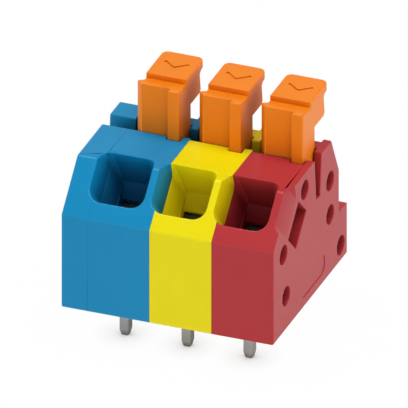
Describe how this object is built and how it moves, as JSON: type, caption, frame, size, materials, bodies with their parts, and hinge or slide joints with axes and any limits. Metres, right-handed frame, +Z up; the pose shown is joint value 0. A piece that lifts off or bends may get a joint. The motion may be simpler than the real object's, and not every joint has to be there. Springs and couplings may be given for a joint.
{
  "type": "pcb terminal block",
  "caption": "Row of spring-clamp terminals for a circuit board: slanted wire funnels, push buttons that open the clamps, solder pins, housings in several colours.",
  "frame": {"origin": "on the board's top side, at the middle pole's solder pin", "axes": "+Z up from the board, +X along the row of poles towards the bare side, -Y to the front, where the wires enter"},
  "size_m": [0.0174, 0.0159, 0.0194],
  "materials": {
    "blue_plastic": "satin moulded",
    "yellow_plastic": "satin moulded",
    "red_plastic": "satin moulded",
    "orange_plastic": "satin moulded",
    "spring_steel": "rolled strip",
    "tinned_copper": "tinned, satin"
  },
  "bodies": {
    "block": {"end_plate": "blue_plastic", "housing_blue": "blue_plastic", "housing_yellow": "yellow_plastic", "housing_red": "red_plastic", "clamp_spring_1": "spring_steel", "clamp_spring_2": "spring_steel", "clamp_spring_3": "spring_steel", "contact_bar_1": "tinned_copper", "contact_bar_2": "tinned_copper", "contact_bar_3": "tinned_copper"},
    "button_1": {"push_button_1": "orange_plastic"},
    "button_2": {"push_button_2": "orange_plastic"},
    "button_3": {"push_button_3": "orange_plastic"}
  },
  "joints": [
    {"name": "button_1_press", "type": "slide", "parent": "block", "child": "button_1", "axis": [0, 0, -1], "range_m": [0, 0.0016], "stiffness_N_per_m": 4000, "springref_m": -0.001, "deforming": ["clamp_spring_1"]},
    {"name": "button_2_press", "type": "slide", "parent": "block", "child": "button_2", "axis": [0, 0, -1], "range_m": [0, 0.0016], "stiffness_N_per_m": 4000, "springref_m": -0.001, "deforming": ["clamp_spring_2"]},
    {"name": "button_3_press", "type": "slide", "parent": "block", "child": "button_3", "axis": [0, 0, -1], "range_m": [0, 0.0016], "stiffness_N_per_m": 4000, "springref_m": -0.001, "deforming": ["clamp_spring_3"]}
  ]
}
